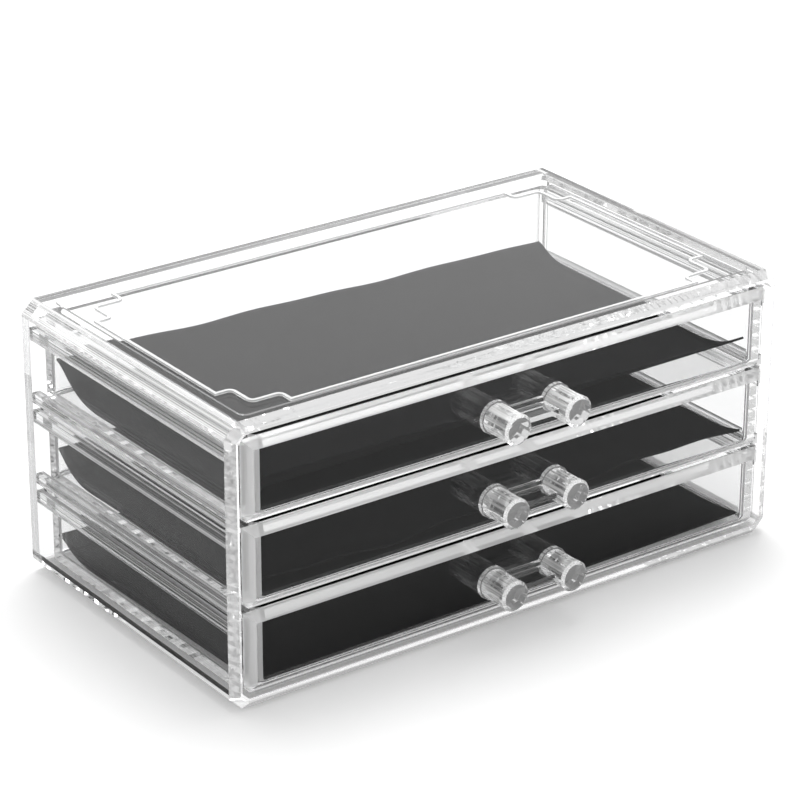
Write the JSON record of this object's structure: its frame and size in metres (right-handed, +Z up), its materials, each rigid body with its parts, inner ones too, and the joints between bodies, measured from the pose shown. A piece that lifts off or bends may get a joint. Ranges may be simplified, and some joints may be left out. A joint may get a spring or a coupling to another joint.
{
  "type": "jewellery organizer with drawers",
  "caption": "Clear chamfered jewellery box with drawers sliding on side runners, faceted barrel pulls, dark curled liners and a recessed top with a stepped bead.",
  "frame": {"origin": "centre of the case's footprint, on the flat underside that rests on a table", "axes": "+X to the right across the drawers, +Y from the drawer fronts to the back panel, +Z up"},
  "size_m": [0.241, 0.1486, 0.107],
  "materials": {
    "clear_case": "clear polished acrylic",
    "clear_drawer": "clear polished polystyrene",
    "clear_handle": "clear polished acrylic with lengthwise facets",
    "liner": "thin charcoal felt sheet"
  },
  "bodies": {
    "case": {"case_shell": "clear_case", "back_panel": "clear_case", "left_runner_bottom": "clear_case", "right_runner_bottom": "clear_case", "left_runner_middle": "clear_case", "right_runner_middle": "clear_case", "left_runner_top": "clear_case", "right_runner_top": "clear_case", "left_guard_bottom": "clear_case", "right_guard_bottom": "clear_case", "left_guard_middle": "clear_case", "right_guard_middle": "clear_case"},
    "bottom_drawer_set": {"bottom_drawer": "clear_drawer", "bottom_handle": "clear_handle", "bottom_liner": "liner"},
    "middle_drawer_set": {"middle_drawer": "clear_drawer", "middle_handle": "clear_handle", "middle_liner": "liner"},
    "top_drawer_set": {"top_drawer": "clear_drawer", "top_handle": "clear_handle", "top_liner": "liner"}
  },
  "joints": [
    {"name": "bottom_drawer_slide", "type": "slide", "parent": "case", "child": "bottom_drawer_set", "axis": [0, -1, 0], "range_m": [0, 0.1]},
    {"name": "middle_drawer_slide", "type": "slide", "parent": "case", "child": "middle_drawer_set", "axis": [0, -1, 0], "range_m": [0, 0.1]},
    {"name": "top_drawer_slide", "type": "slide", "parent": "case", "child": "top_drawer_set", "axis": [0, -1, 0], "range_m": [0, 0.1]}
  ]
}
